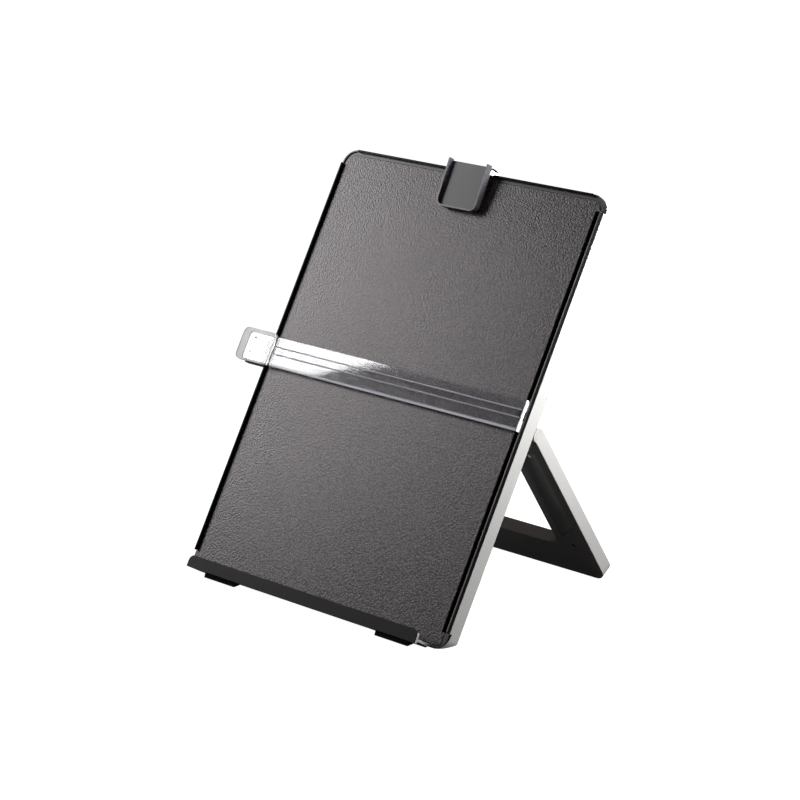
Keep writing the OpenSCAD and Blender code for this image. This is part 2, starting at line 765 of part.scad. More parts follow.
module guide_bar() {
    color(clear) on_board() difference() {
        union() {
            // band
            block([tab_x1 - 0.1, guide_front_y, guide_z + bead_r], [guide_end_x, guide_back_y, guide_z1]);
            // lower bead
            rod_x(tab_x1, guide_end_x, guide_front_y + bead_r, guide_z + bead_r, bead_r);
            // ridge lines either side of the reading slot
            for (d = ridge_drops) bar(tab_x1, guide_end_x - end_wall_t) polygon([
                [guide_front_y + 0.1, guide_z1 - d - ridge_h], [guide_front_y - ridge_h, guide_z1 - d],
                [guide_front_y + 0.1, guide_z1 - d + ridge_h]
            ]);
            // end wall, turned back towards the panel
            plate(guide_front_y, end_wall_y) translate([guide_end_x - end_wall_t, guide_z]) polygon([
                [0, low_cut], [low_cut, 0], [end_wall_t, 0], [end_wall_t, guide_h - top_cut],
                [end_wall_t - top_cut, guide_h], [0, guide_h]
            ]);
            // step between band and tab
            block([tab_x1 - step_t, guide_front_y - step_h, guide_z],
                [tab_x1, guide_back_y + step_h, tab_z1 - tab_rim / 2]);
            // grip tab with a thick rim
            difference() {
                plate(tab_front_y, guide_back_y) round_rect(tab_x0, tab_x1, tab_z0, tab_z1, tab_r, tab_r);
                plate(tab_front_y - 1, guide_front_y) round_rect(tab_x0 + tab_end_rim, tab_x1 + 9,
                    tab_z0 + tab_rim / 2, tab_z1 - tab_rim, tab_r / 2, tab_r / 2);
            }
        }
        // notch that shows the runner
        block([guide_end_x - end_wall_t - 1, runner_y0 - 0.05, runner_z0], [guide_end_x + 1, 1, runner_z1]);
        for (p = rivets) rod_y(p[0], p[1], tab_front_y - 1, 0, rivet_r + fit_gap / 3);
    }
}

// Hook: closed block under the tab, which carries the shoe
hook_x0 = tab_x0 + 7.8;
hook_x1 = -half_w - 3.4;
hook_z0 = guide_z - 0.1;
hook_z1 = guide_z1 - 1.4;
hook_y1 = 1.4;
hook_wall = 1.4;
rivet_r = 0.8;
rivet_tail = 2.4;
rivet_head = 0.5;
rivets = [[hook_x0 + 2.3, guide_z1 - 3.6], [hook_x0 + 1.8, guide_z + 7]];

module guide_hook() {
    color(clear) on_board() difference() {
        block([hook_x0, guide_back_y, hook_z0], [hook_x1, hook_y1, hook_z1]);
        block([hook_x0 + hook_wall, guide_back_y + hook_wall, hook_z0 + hook_wall],
            [hook_x1 + 1, hook_y1 - hook_wall, hook_z1 - hook_wall]);
        for (p = rivets)
            rod_y(p[0], p[1], guide_back_y - 1, guide_back_y + rivet_tail + fit_gap, rivet_r + fit_gap / 3);
    }
}

// Shoe: slides in the left rail's side groove
shoe_t = 0.9;
shoe_x0 = hook_x1 + fit_gap;
shoe_x1 = -half_w - 0.6;
shoe_y0 = guide_back_y + 0.6;
shoe_z0 = hook_z0 + 2;
shoe_z1 = hook_z1 - 2;
module guide_shoe() {
    color(black) on_board() {
        block([shoe_x0, shoe_y0, hook_z0 - shoe_t], [shoe_x1, left_groove_y1 - slide_gap, hook_z1]);
        block([shoe_x1 - 0.1, left_groove_y0 + slide_gap, shoe_z0],
            [-half_w + left_groove_d - slide_gap * 2, left_groove_y1 - slide_gap, shoe_z1]);
        block([hook_x0, shoe_y0, hook_z0 - shoe_t], [shoe_x0 + 0.1, hook_y1, hook_z0 - 0.05]);
    }
}

// Runner: the foot in the slide groove
runner_z0 = guide_z + 7.4;
runner_z1 = runner_z0 + 6.4;
runner_y0 = guide_back_y + 0.65;
module guide_runner() {
    color(black) on_board() block([groove_x0 + slide_gap * 2, runner_y0, runner_z0 + 0.05],
        [channel_x1 - channel_t - slide_gap * 2, groove_d - slide_gap * 2, runner_z1 - 0.05]);
}

// Leaf spring inside the hook, bowed against the shoe
leaf_t = 0.4;
leaf_w = 1.6;
leaf_y0 = guide_back_y + hook_wall + 0.3;
bow = 1.2;
module guide_spring() {
    z_mid = (hook_z0 + hook_z1) / 2;
    leaf_l = hook_z1 - hook_z0 - 2 * hook_wall - 1;
    bow_r = (leaf_l * leaf_l / 4 + bow * bow) / 2 / bow;
    color(steel) on_board() intersection() {
        translate([shoe_x0 - bow_r, leaf_y0, z_mid]) rotate([-90, 0, 0]) difference() {
            cylinder(r = bow_r, h = leaf_w, $fn = 96);
            translate([0, 0, -1]) cylinder(r = bow_r - leaf_t, h = leaf_w + 2, $fn = 96);
        }
        block([shoe_x0 - bow - leaf_t, -far, z_mid - leaf_l / 2], [shoe_x0, far, z_mid + leaf_l / 2]);
    }
}

module guide_rivets() {
    color(steel) on_board() for (p = rivets) {
        rod_y(p[0], p[1], guide_front_y, guide_back_y + rivet_tail, rivet_r);
        rod_y(p[0], p[1], guide_front_y - rivet_head, guide_front_y, rivet_r + rivet_head);
    }
}

// ---- stand ----

leg_half_t = leg_t / 2;
axis_y = board_t + fold_gap + leg_half_t;
leg_slope = 90 + recline - open_angle;   // of the open stand, below level
axis_height = hinge_z * cos(recline) - axis_y * sin(recline);
leg_l = (axis_height - leg_half_t * cos(leg_slope)) / sin(leg_slope);
leg_half_w = half_w;
window_half_w = leg_half_w - stile_w;
window_z0 = -leg_l + foot_rail_h;
window_z1 = -head_rail_h;
liner_t = 0.6;                           // the liner's edge over the shell's walls
liner_plate_t = 1.8;
barrel_z = leg_half_t + 0.4;             // the barrel's web ends here
washer_t = 1.1;
ear_t = 3.4;
ear_gap = 0.1;
ear_in = knuckle_l / 2 + washer_t + 2 * ear_gap;   // from the hinge's middle to an ear
ear_out = ear_in + ear_t;
ear_hinge_r = leg_half_t - 0.5;
block_half_w = ear_out + 0.4;
block_half_h = 10;
block_t = 1.6;
block_y = board_t - block_t;
pad_y = board_t - back_t - 2;            // boss under a hinge block
block_screw_out = 7.2;                   // from the hinge axis to a block's screw
block_screw_zs = [hinge_z - block_screw_out, hinge_z + block_screw_out];
block_recess = 1;                        // depth of the seats for the screws' heads
block_head_h = 0.9;
block_tip = 0.4;                         // from the boss's inner face to the screws' tips
pin_head_t = 1;
pin_tail = 1.6;
ring_in = 0.35;                          // from an ear to the retaining ring
ring_t = 0.5;
notch_in = ear_out + pin_tail + 0.5;     // room for a pin's ends in the barrel
bush_r = pin_r + 0.9;
pin_head_r = pin_r + 1;
plug_l = 4;

// Hinge axis of the open stand: the stand hangs along -z
module on_leg() {
    on_board() translate([0, axis_y, hinge_z]) rotate([open_angle, 0, 0]) children();
}

// The stand's outline below its hinge barrel, up to height z1
module leg_outline(inset, z1) {
    round_rect(-leg_half_w + inset, leg_half_w - inset, -leg_l + inset, z1, 0.1, leg_corner_r - inset);
}

window_r = 2;
module window_outline(grow = 0) {
    round_rect(-window_half_w - grow, window_half_w + grow, window_z0 - grow, window_z1 + grow,
        window_r + grow, window_r + grow);
}

// Room for the ears, washers and pin ends in the barrel
module barrel_notches() {
    for (s = [-1, 1]) for (side = [-1, 1]) {
        x0 = s * hinge_x + side * knuckle_l / 2;
        x1 = s * hinge_x + side * notch_in;
        block([min(x0, x1), -far, -barrel_z], [max(x0, x1), far, far]);
    }
}

web_z = -barrel_z - leg_wall;            // lower end of the web under the barrel
cheek_x = leg_half_w - leg_wall;         // inner face of the shell's two sides
barrel_x = cheek_x - fit_gap;
entry_r = pin_head_r + fit_gap;

// Ways in for the pins, from the knuckles out through the stand's sides
module pin_entries() {
    for (s = [-1, 1]) scale([s, 1, 1]) rod_x(hinge_x + knuckle_l / 2, far, 0, 0, entry_r);
}

module leg_shell() {
    color(silver) on_leg() difference() {
        union() {
            difference() {
                plate(-leg_half_t + liner_t, leg_half_t) leg_outline(0, web_z - fit_gap);
                plate(-leg_half_t, leg_half_t - leg_wall) leg_outline(leg_wall, 0);
            }
            // the sides go on up round the ends of the barrel
            for (s = [-1, 1]) scale([s, 1, 1]) {
                rod_x(cheek_x, leg_half_w, 0, 0, leg_half_t);
                block([cheek_x, -leg_half_t + liner_t, web_z - 1], [leg_half_w, leg_half_t, 0]);
            }
            for (p = leg_screw_places)
                rod_y(p[0], p[1], -leg_half_t + liner_plate_t, leg_half_t - leg_wall / 2, leg_boss_r);
        }
        plate(-far, far) window_outline(liner_wall + fit_gap);
        pin_entries();
        for (p = leg_screw_places) rod_y(p[0], p[1], -leg_half_t, leg_half_t - leg_wall / 2, screw_r);
    }
}

// Liner: dark front of the stand with the hinge barrel. Its walls line the window.
liner_wall = 1.6;
leg_boss_r = 2.6;
scoop_w = 17;
scoop_d = 0.9;
scoop_low_in = 6;                        // the scoop's slanted end, above the window's lower edge
scoop_low_out = 30;
leg_screw_xs = [-leg_half_w + stile_w / 2, leg_half_w - stile_w / 2];
leg_screw_zs = [window_z1 - 6, window_z0 + 4];
leg_screw_places = [for (x = leg_screw_xs) for (z = leg_screw_zs) [x, z]];
stop_y = 0.2;
stop_z = (leg_half_t + fold_gap - 0.15 + stop_y * cos(open_angle)) / sin(open_angle);
stop_half_w = 20;
sheet_z = -sqrt(pow(leg_half_t, 2) - pow(leg_half_t - liner_t, 2)) - fit_gap;
module leg_liner() {
    scoop_r = (scoop_w * scoop_w / 4 + scoop_d * scoop_d) / 2 / scoop_d;
    scoop_x0 = window_half_w + liner_wall;
    color(black) on_leg() difference() {
        union() {
            plate(-leg_half_t, -leg_half_t + liner_t) leg_outline(0, sheet_z);
            plate(-leg_half_t, -leg_half_t + liner_plate_t) leg_outline(leg_wall + fit_gap, web_z + 1);
            plate(-leg_half_t, leg_half_t) window_outline(liner_wall);
            rod_x(-barrel_x, barrel_x, 0, 0, leg_half_t);
            block([-barrel_x, -leg_half_t, web_z], [barrel_x, leg_half_t, 0]);
            // rib that meets the board's back when the stand is open
            block([-stop_half_w, stop_y, leg_half_t - 1.5], [stop_half_w, stop_y + 2, stop_z]);
        }
        plate(-far, far) window_outline();
        barrel_notches();
        for (s = [-1, 1]) rod_x(s * hinge_x - notch_in, s * hinge_x + notch_in, 0, 0, bush_r + run_gap);
        pin_entries();
        // shallow scoop along each side bar, ended at a slant above the foot
        for (s = [-1, 1]) scale([s, 1, 1]) intersection() {
            translate([leg_half_w - stile_w / 2, -leg_half_t - scoop_r + scoop_d, -leg_l])
                cylinder(r = scoop_r, h = leg_l, $fn = 96);
            plate(-leg_half_t - 1, leg_half_t) polygon([
                [scoop_x0, window_z0 + scoop_low_in], [leg_half_w, window_z0 + scoop_low_out],
                [leg_half_w, window_z1 - 1], [scoop_x0, window_z1 - 1]
            ]);
        }
        for (p = leg_screw_places) rod_y(p[0], p[1], -leg_half_t - 1, leg_half_t, screw_r + fit_gap);
    }
}

module leg_screws() {
    color(steel) on_leg() for (p = leg_screw_places)
        rod_y(p[0], p[1], -leg_half_t + scoop_d + 0.1, leg_half_t - leg_wall, screw_r);
}

// Plugs that close the stand's bores at its two sides
module hinge_plugs() {
    color(silver) on_leg() for (s = [-1, 1]) scale([s, 1, 1])
        rod_x(leg_half_w - plug_l, leg_half_w, 0, 0, pin_head_r + run_gap);
}

// Rear feet: wedges that fill in between the stand's end and the desk
rear_foot_in = 26;
rear_foot_l = 34;
rear_foot_y0 = -leg_half_t + 1.2;
rear_foot_y1 = leg_half_t - 0.6;
function foot_sole_z(y) = -leg_l - (y + leg_half_t) / tan(leg_slope);   // the desk under the open stand
module rear_foot() {
    on_leg() bar(leg_half_w - rear_foot_in - rear_foot_l, leg_half_w - rear_foot_in) polygon([
        [rear_foot_y0, -leg_l], [rear_foot_y1, -leg_l], [rear_foot_y1, foot_sole_z(rear_foot_y1)],
        [rear_foot_y0, foot_sole_z(rear_foot_y0)]
    ]);
}

module rear_foot_left() {
    color(black) mirror([1, 0, 0]) rear_foot();
}

module rear_foot_right() {
    color(black) rear_foot();
}

// ---- hinges ----

module at_hinge(s) {
    on_board() translate([s * hinge_x, 0, 0]) scale([s, 1, 1]) children();
}

module hinge_block(s) {
    color(black) at_hinge(s) difference() {
        union() {
            block([-block_half_w, block_y, hinge_z - block_half_h],
                [block_half_w, board_t, hinge_z + block_half_h]);
            for (side = [-1, 1]) scale([side, 1, 1]) bar(ear_in, ear_out) {
                translate([axis_y, hinge_z]) circle(ear_hinge_r);
                translate([board_t - 0.1, hinge_z - ear_hinge_r])
                    square([axis_y - board_t + 0.1, 2 * ear_hinge_r]);
            }
        }
        rod_x(-far, far, axis_y, hinge_z, pin_r + run_gap);
        for (z = block_screw_zs) {
            rod_y(0, z, block_y - 1, board_t + 1, screw_r + fit_gap);
            rod_y(0, z, board_t - block_recess, board_t + 1, head_r + fit_gap);
        }
    }
}

module hinge_block_left() {
    hinge_block(-1);
}

module hinge_block_right() {
    hinge_block(1);
}

module hinge_block_screws() {
    color(steel) on_board() for (s = [-1, 1]) for (z = block_screw_zs)
        screw(s * hinge_x, z, pad_y + block_tip, board_t - block_recess, block_head_h);
}

// A pin: head towards the board's edge, groove for the retainer at its other end
module hinge_pin(s) {
    color(steel) at_hinge(s) difference() {
        union() {
            rod_x(-ear_out - pin_tail, ear_out + 0.2, axis_y, hinge_z, pin_r);
            rod_x(ear_out + 0.1, ear_out + 0.1 + pin_head_t, axis_y, hinge_z, pin_head_r);
        }
        difference() {
            rod_x(-ear_out - ring_in - ring_t - 0.05, -ear_out - ring_in + 0.05, axis_y, hinge_z, pin_r + 1);
            rod_x(-ear_out - 2, -ear_out, axis_y, hinge_z, pin_r - 0.5);
        }
    }
}

module hinge_pin_left() {
    hinge_pin(-1);
}

module hinge_pin_right() {
    hinge_pin(1);
}

module pin_retainers() {
    color(steel) for (s = [-1, 1]) at_hinge(s) difference() {
        rod_x(-ear_out - ring_in - ring_t, -ear_out - ring_in, axis_y, hinge_z, pin_r + 1);
        rod_x(-ear_out - 2, -ear_out, axis_y, hinge_z, pin_r - 0.45);
        block([-ear_out - 2, axis_y, hinge_z - pin_r + 0.7], [-ear_out, axis_y + 4, hinge_z + pin_r - 0.7]);
    }
}

module hinge_bush(s) {
    color([0.9, 0.9, 0.86]) at_hinge(s) difference() {
        rod_x(-knuckle_l / 2, knuckle_l / 2, axis_y, hinge_z, bush_r);
        rod_x(-knuckle_l, knuckle_l, axis_y, hinge_z, pin_r + run_gap);
    }
}

module hinge_bush_left() {
    hinge_bush(-1);
}

module hinge_bush_right() {
    hinge_bush(1);
}

module friction_washers() {
    color(steel) for (s = [-1, 1]) at_hinge(s) for (side = [-1, 1]) scale([side, 1, 1]) difference() {
        rod_x(knuckle_l / 2 + ear_gap, knuckle_l / 2 + ear_gap + washer_t, axis_y, hinge_z, ear_hinge_r - 0.3);
        rod_x(0, far, axis_y, hinge_z, pin_r + run_gap);
    }
}

front_tray();
face_panel();
rail_left();
rail_right();
rail_top_left();
rail_top_right();
back_shell();
shell_screws();
ledge_bracket();
ledge_cover();
ledge_screws();
front_foot_left();
front_foot_right();
clip_bracket();
clip_bracket_screws();
clip_pin();
clip_spring();
clip_lever();
clip_pad();
guide_bar();
guide_hook();
guide_shoe();
guide_runner();
guide_spring();
guide_rivets();
hinge_block_left();
hinge_block_right();
hinge_block_screws();
hinge_pin_left();
hinge_pin_right();
pin_retainers();
hinge_bush_left();
hinge_bush_right();
friction_washers();
hinge_plugs();
leg_shell();
leg_liner();
leg_screws();
rear_foot_left();
rear_foot_right();
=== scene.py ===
import json
import math

import bmesh
import bpy
from mathutils import Matrix, Vector


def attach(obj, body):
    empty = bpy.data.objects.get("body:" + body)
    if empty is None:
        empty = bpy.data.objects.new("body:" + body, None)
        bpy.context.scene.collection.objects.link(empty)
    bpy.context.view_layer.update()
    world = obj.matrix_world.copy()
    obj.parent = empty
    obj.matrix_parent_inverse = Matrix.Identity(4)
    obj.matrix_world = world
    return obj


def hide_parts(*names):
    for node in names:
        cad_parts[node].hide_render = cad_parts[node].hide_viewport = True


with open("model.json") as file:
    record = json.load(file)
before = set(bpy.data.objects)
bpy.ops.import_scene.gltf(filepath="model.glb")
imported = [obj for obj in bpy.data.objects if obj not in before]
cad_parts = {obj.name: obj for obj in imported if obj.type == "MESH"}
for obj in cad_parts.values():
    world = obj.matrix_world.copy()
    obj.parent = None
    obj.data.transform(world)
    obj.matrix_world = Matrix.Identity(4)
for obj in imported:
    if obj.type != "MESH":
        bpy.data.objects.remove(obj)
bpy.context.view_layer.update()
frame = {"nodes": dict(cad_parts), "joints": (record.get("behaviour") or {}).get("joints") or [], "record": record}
joints = {joint["name"]: joint for joint in frame["joints"]}
print("frame loaded:", len(frame["nodes"]), "nodes")

mm = 0.001

# the leaning board's own frame stands on its foot: x to the right, y into the board, z up the board
boardDepth = 11.3 * mm
slopeAxis = Vector(joints["guide_slide"]["axis"])
recline = math.atan2(slopeAxis.y, slopeAxis.z)
boardFoot = Vector((0, -boardDepth / math.cos(recline) / 2, 0))
onBoard = Matrix.Translation(boardFoot) @ Matrix.Rotation(-recline, 4, "X")
toBoard = onBoard.inverted()

# the photograph's view: metres, degrees, and millimetres for lens and sensor
camera = {
    "place": (1.1383, -1.1905, 0.6442), "azimuth": 41.88, "elevation": 17.08,
    "lens": 122.6, "sensor": 36, "nearest": 0.05, "farthest": 60,
}


def addCamera():
    turn = math.radians(camera["azimuth"])
    dip = math.radians(camera["elevation"])
    look = Vector((-math.sin(turn) * math.cos(dip), math.cos(turn) * math.cos(dip), -math.sin(dip)))
    data = bpy.data.cameras.new("camera")
    data.lens = camera["lens"]
    data.sensor_width = camera["sensor"]
    data.clip_start = camera["nearest"]
    data.clip_end = camera["farthest"]
    obj = bpy.data.objects.new("camera", data)
    obj.location = camera["place"]
    obj.rotation_euler = look.to_track_quat("-Z", "Y").to_euler()
    bpy.context.scene.collection.objects.link(obj)
    bpy.context.scene.camera = obj


addCamera()
print("camera set")


def tone(red, green=None, blue=None):
    # screen levels, 0 to 255, as linear colour by the sRGB curve
    levels = (red, red if green is None else green, red if blue is None else blue)
    return tuple(((v / 255 + 0.055) / 1.055) ** 2.4 if v > 10 else v / 255 / 12.92 for v in levels) + (1,)


def newGroup(name, inputs, outputs):
    group = bpy.data.node_groups.new(name, "ShaderNodeTree")
    for label, value in inputs.items():
        socket = group.interface.new_socket(label, in_out="INPUT", socket_type="NodeSocketFloat")
        socket.default_value = value
    for label in outputs:
        group.interface.new_socket(label, in_out="OUTPUT", socket_type="NodeSocketFloat")
    return group, group.nodes.new("NodeGroupInput"), group.nodes.new("NodeGroupOutput")


def addNode(tree, kind, **settings):
    # settings are the node's own, or else values of its input sockets
    node = tree.nodes.new(kind)
    for label, value in settings.items():
        if hasattr(node, label):
            setattr(node, label, value)
        else:
            node.inputs[label].default_value = value
    return node


def addGroup(tree, group, values):
    node = addNode(tree, "ShaderNodeGroup", node_tree=group)
    for label, value in values.items():
        node.inputs[label].default_value = value
    return node


def mathNode(tree, operation, a, b, clamp=False):
    node = addNode(tree, "ShaderNodeMath", operation=operation, use_clamp=clamp)
    for slot, value in enumerate((a, b)):
        if isinstance(value, (int, float)):
            node.inputs[slot].default_value = value
        else:
            tree.links.new(value, node.inputs[slot])
    return node.outputs[0]


def objectPlace(tree):
    return addNode(tree, "ShaderNodeTexCoord").outputs["Object"]


# moulded grain: cells with rounded tops and soft valleys, bent a little, with a finer noise on them; its Shade
# output darkens the colour down into the valleys, a painted shade over the grain's own tone
grainShape = {
    "bendScale": 260.0, "bendDetail": 2.0, "softness": 0.35,
    "fineScale": 1.7, "fineDetail": 3.0, "fineRoughness": 0.6, "fineShare": 0.5,
    "shadeGain": 2.4, "shadeStart": 1.7,
}


def makeGrainGroup():
    inputs = {"Cells per metre": 700.0, "Stretch": 0.3}
    group, start, end = newGroup("mouldedGrain", inputs, ("Height", "Shade"))
    links = group.links
    place = objectPlace(group)
    perMetre = start.outputs["Cells per metre"]
    bend = addNode(group, "ShaderNodeTexNoise", Scale=grainShape["bendScale"], Detail=grainShape["bendDetail"])
    links.new(place, bend.inputs["Vector"])
    shift = addNode(group, "ShaderNodeVectorMath", operation="SCALE")
    links.new(bend.outputs["Color"], shift.inputs[0])
    links.new(mathNode(group, "DIVIDE", start.outputs["Stretch"], perMetre), shift.inputs["Scale"])
    moved = addNode(group, "ShaderNodeVectorMath", operation="ADD")
    links.new(place, moved.inputs[0])
    links.new(shift.outputs[0], moved.inputs[1])
    cells = addNode(group, "ShaderNodeTexVoronoi", feature="SMOOTH_F1", Smoothness=grainShape["softness"])
    links.new(moved.outputs[0], cells.inputs["Vector"])
    links.new(perMetre, cells.inputs["Scale"])
    fine = addNode(group, "ShaderNodeTexNoise", Detail=grainShape["fineDetail"],
                   Roughness=grainShape["fineRoughness"])
    links.new(moved.outputs[0], fine.inputs["Vector"])
    links.new(mathNode(group, "MULTIPLY", perMetre, grainShape["fineScale"]), fine.inputs["Scale"])
    domes = mathNode(group, "SUBTRACT", 1.0, cells.outputs["Distance"])
    pebbles = mathNode(group, "MULTIPLY", fine.outputs["Fac"], grainShape["fineShare"])
    height = mathNode(group, "ADD", domes, pebbles)
    links.new(height, end.inputs["Height"])
    # painted shade: colour runs from light on the grain's tops to dark in its valleys
    raised = mathNode(group, "MULTIPLY", height, grainShape["shadeGain"])
    links.new(mathNode(group, "SUBTRACT", raised, grainShape["shadeStart"], True), end.inputs["Shade"])
    return group


# handling: a cloudy change of gloss, whose noise from low to high spans the roughness
handlingCloud = {"detail": 6.0, "roughness": 0.62, "low": 0.3, "high": 0.7}


def makeHandlingGroup():
    inputs = {"Size": 14.0, "Low": 0.3, "High": 0.45}
    group, start, end = newGroup("handling", inputs, ("Roughness", "Cloud"))
    links = group.links
    cloud = addNode(group, "ShaderNodeTexNoise", Detail=handlingCloud["detail"],
                    Roughness=handlingCloud["roughness"])
    links.new(objectPlace(group), cloud.inputs["Vector"])
    links.new(start.outputs["Size"], cloud.inputs["Scale"])
    spread = addNode(group, "ShaderNodeMapRange")
    spread.inputs["From Min"].default_value = handlingCloud["low"]
    spread.inputs["From Max"].default_value = handlingCloud["high"]
    links.new(cloud.outputs["Fac"], spread.inputs["Value"])
    links.new(start.outputs["Low"], spread.inputs["To Min"])
    links.new(start.outputs["High"], spread.inputs["To Max"])
    links.new(spread.outputs[0], end.inputs["Roughness"])
    links.new(cloud.outputs["Fac"], end.inputs["Cloud"])
    return group


grainGroup = makeGrainGroup()
handlingGroup = makeHandlingGroup()


def newMaterial(name, sockets):
    # a material whose shader has these whole-surface values
    material = bpy.data.materials.new(name)
    material.use_nodes = True
    shader = material.node_tree.nodes["Principled BSDF"]
    for label, value in sockets.items():
        shader.inputs[label].default_value = value
    return material, material.node_tree, shader


def glossFrom(tree, shader, size, rough):
    # cloudy roughness between two values, and the cloud itself for the colour
    handling = addGroup(tree, handlingGroup, {"Size": size, "Low": rough[0], "High": rough[1]})
    tree.links.new(handling.outputs["Roughness"], shader.inputs["Roughness"])
    return handling.outputs["Cloud"]


def colourFrom(tree, shader, factor, dark, light):
    mix = addNode(tree, "ShaderNodeMix", data_type="RGBA")
    mix.inputs["A"].default_value = dark
    mix.inputs["B"].default_value = light
    tree.links.new(factor, mix.inputs["Factor"])
    tree.links.new(mix.outputs["Result"], shader.inputs["Base Color"])


def bumpFrom(tree, shader, height, strength, distance):
    bump = addNode(tree, "ShaderNodeBump", Strength=strength, Distance=distance)
    tree.links.new(height, bump.inputs["Height"])
    tree.links.new(bump.outputs["Normal"], shader.inputs["Normal"])


# moulded plastics, rubber and nylon; a grain's distance is its height in metres
finishes = {
    "panel": {"dark": tone(22, 19, 20), "light": tone(90, 85, 87), "rough": (0.29, 0.33),
              "specular": 0.42, "tint": (1.0, 0.93, 0.95, 1),
              "grain": {"cells": 900.0, "stretch": 0.9, "strength": 0.7, "distance": 0.00016}},
    "tray": {"dark": tone(24), "light": tone(34), "rough": (0.3, 0.4), "specular": 0.4},
    "rail": {"dark": tone(5), "light": tone(10), "rough": (0.2, 0.3), "specular": 0.06},
    # painted highlight on the right lip's front face
    "paintedLipHighlight": {"dark": tone(60), "light": tone(90), "rough": (0.2, 0.3)},
    "ledge": {"dark": tone(26, 23, 24), "light": tone(38, 35, 36), "rough": (0.36, 0.46), "specular": 0.1,
              "grain": {"cells": 1500.0, "stretch": 0.6, "strength": 0.25, "distance": 0.00008}},
    "clip": {"dark": tone(40, 38, 42), "light": tone(54, 52, 57), "rough": (0.3, 0.38), "specular": 0.36},
    # painted highlight: the rim's front faces, paler than the clip
    "clipRimHighlight": {"dark": tone(84, 82, 86), "light": tone(104, 102, 106), "rough": (0.2, 0.3),
                "specular": 0.4},
    "liner": {"dark": tone(30, 26, 25), "light": tone(46, 40, 38), "rough": (0.34, 0.44), "specular": 0.2,
              "grain": {"cells": 1500.0, "stretch": 0.6, "strength": 0.2, "distance": 0.00007}},
    "rubber": {"dark": tone(20), "light": tone(30), "rough": (0.62, 0.78), "specular": 0.2,
               "grain": {"cells": 2200.0, "stretch": 0.5, "strength": 0.3, "distance": 0.00006}},
    "nylon": {"dark": tone(214, 211, 200), "light": tone(226, 224, 214), "rough": (0.4, 0.5)},
}
plasticCloud = 14.0   # handling clouds per metre


def makePlastic(name, dark, light, rough, grain=None, specular=0.5, tint=(1, 1, 1, 1)):
    sockets = {"Specular IOR Level": specular, "Specular Tint": tint}
    material, tree, shader = newMaterial(name + "Plastic", sockets)
    factor = glossFrom(tree, shader, plasticCloud, rough)
    if grain:
        pebbles = addGroup(tree, grainGroup, {"Cells per metre": grain["cells"], "Stretch": grain["stretch"]})
        # with grain, the colour follows the grain's painted valley shade instead of the cloud
        factor = pebbles.outputs["Shade"]
        bumpFrom(tree, shader, pebbles.outputs["Height"], grain["strength"], grain["distance"])
    colourFrom(tree, shader, factor, dark, light)
    return material


# satin silver paint with fine metal flakes, whose bump height is in metres
silverPaint = {
    "dark": tone(160, 159, 157), "light": tone(180, 179, 177), "metallic": 0.3,
    "flakesPerMetre": 3200.0, "sparkle": 0.9, "flakeBump": 0.12, "flakeHeight": 0.00004,
    "cloud": 18.0, "rough": (0.34, 0.44),
}


def makeSilver():
    material, tree, shader = newMaterial("silverPaint", {"Metallic": silverPaint["metallic"]})
    flakes = addNode(tree, "ShaderNodeTexVoronoi", feature="F1", Scale=silverPaint["flakesPerMetre"])
    tree.links.new(objectPlace(tree), flakes.inputs["Vector"])
    sparkle = mathNode(tree, "MULTIPLY", flakes.outputs["Distance"], silverPaint["sparkle"], True)
    colourFrom(tree, shader, sparkle, silverPaint["dark"], silverPaint["light"])
    glossFrom(tree, shader, silverPaint["cloud"], silverPaint["rough"])
    bumpFrom(tree, shader, flakes.outputs["Distance"], silverPaint["flakeBump"], silverPaint["flakeHeight"])
    return material


# the guide's acrylic: polished band, frosted rim, ridges, and the lines beside the step; the bead, the end wall
# and the step are lightly frosted and painted near-opaque white, painted highlights
acrylics = {
    "clear": {"colour": tone(248, 249, 252), "haze": (0.02, 0.06), "clearness": 1.0},
    "acrylicRim": {"colour": tone(132, 130, 131), "haze": (0.3, 0.42), "clearness": 0.5},
    # painted highlight: the bead along the band's lower edge
    "paintedBeadHighlight": {"colour": tone(244, 241, 248), "haze": (0.1, 0.2), "clearness": 0.12},
    # painted highlight on the frosted end wall and the step
    "frostedWhiteHighlight": {"colour": tone(246, 246, 248), "haze": (0.3, 0.4), "clearness": 0.1},
    "acrylicLine": {"colour": tone(150, 150, 154), "haze": (0.2, 0.3), "clearness": 0.3},
    "acrylicRidge": {"colour": tone(232, 228, 238), "haze": (0.06, 0.1), "clearness": 0.45},
}
acrylicGloss = {"ior": 1.49, "specular": 0.42, "cloud": 30.0}
# the band's front is slightly crowned: curve in 1/m, middle in millimetres up the board
bandCrown = {"curve": 0.65, "middle": 154.8}


def makeAcrylic(name, colour, haze, clearness):
    material, tree, shader = newMaterial(name, {
        "Base Color": colour, "Transmission Weight": clearness,
        "IOR": acrylicGloss["ior"], "Specular IOR Level": acrylicGloss["specular"],
    })
    glossFrom(tree, shader, acrylicGloss["cloud"], haze)
    board = addNode(tree, "ShaderNodeMapping", vector_type="TEXTURE")
    board.inputs["Location"].default_value = onBoard @ Vector((0, 0, bandCrown["middle"] * mm))
    board.inputs["Rotation"].default_value = (-recline, 0, 0)
    tree.links.new(objectPlace(tree), board.inputs["Vector"])
    parts = addNode(tree, "ShaderNodeSeparateXYZ")
    tree.links.new(board.outputs[0], parts.inputs[0])
    square = mathNode(tree, "MULTIPLY", parts.outputs["Z"], parts.outputs["Z"])
    bumpFrom(tree, shader, mathNode(tree, "MULTIPLY", square, -bandCrown["curve"]), 1.0, 1.0)
    return material


# drawn, zinc plated steel
zincSteel = {
    "dark": tone(150), "light": tone(205, 205, 208), "drawnScale": 900.0, "drawnDetail": 4.0,
    "drawnBump": 0.15, "drawnHeight": 0.00005, "cloud": 200.0, "rough": (0.22, 0.38),
}


